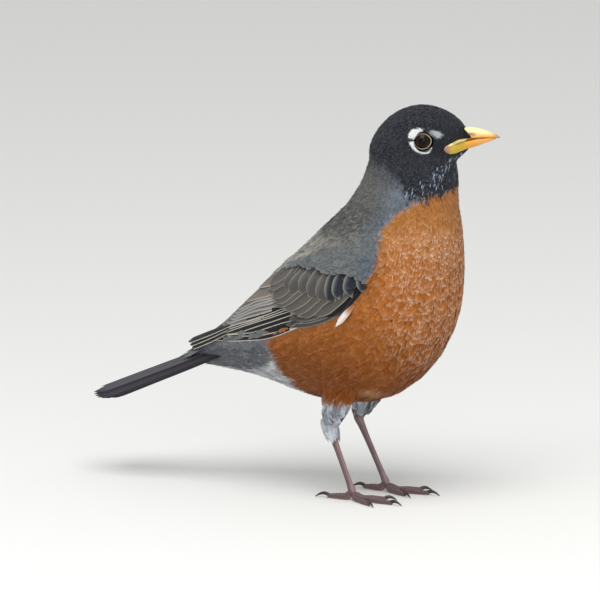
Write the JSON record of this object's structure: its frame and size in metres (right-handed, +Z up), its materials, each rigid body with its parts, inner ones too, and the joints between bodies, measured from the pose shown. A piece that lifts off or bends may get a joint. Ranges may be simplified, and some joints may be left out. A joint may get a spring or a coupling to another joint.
{
  "type": "american robin",
  "caption": "Life-size standing thrush with a dark head, orange-red breast, grey-brown back, folded wings and a yellow bill, upright on both feet.",
  "frame": {"origin": "on the floor under the middle of the whole bird's box", "axes": "+X the way the body faces, +Y the bird's left, +Z up"},
  "size_m": [0.1966, 0.0726, 0.1829],
  "materials": {
    "head_plumage": "matt feather",
    "back_plumage": "matt feather",
    "breast_plumage": "matt feather",
    "vent_plumage": "matt feather",
    "wing_plumage": "matt feather",
    "flight_quills": "satin quill",
    "bill": "horn, satin",
    "eye": "wet gloss",
    "leg_skin": "scaled skin, satin",
    "claw": "horn, satin"
  },
  "bodies": {
    "root": {"bill_lower": "bill", "bill_upper": "bill", "claw_left_hind": "claw", "claw_left_inner": "claw", "claw_left_middle": "claw", "claw_left_outer": "claw", "claw_right_hind": "claw", "claw_right_inner": "claw", "claw_right_middle": "claw", "claw_right_outer": "claw", "eye_left": "eye", "eye_right": "eye", "head": "head_plumage", "neck": "back_plumage", "rump": "back_plumage", "shank_left": "leg_skin", "shank_right": "leg_skin", "tail_left": "flight_quills", "tail_middle": "flight_quills", "tail_right": "flight_quills", "thigh_left": "vent_plumage", "thigh_right": "vent_plumage", "toe_left_hind": "leg_skin", "toe_left_inner": "leg_skin", "toe_left_middle": "leg_skin", "toe_left_outer": "leg_skin", "toe_right_hind": "leg_skin", "toe_right_inner": "leg_skin", "toe_right_middle": "leg_skin", "toe_right_outer": "leg_skin", "trunk": "breast_plumage", "wing_left_coverts": "wing_plumage", "wing_left_primaries": "flight_quills", "wing_left_secondaries": "wing_plumage", "wing_right_coverts": "wing_plumage", "wing_right_primaries": "flight_quills", "wing_right_secondaries": "wing_plumage"}
  },
  "joints": []
}
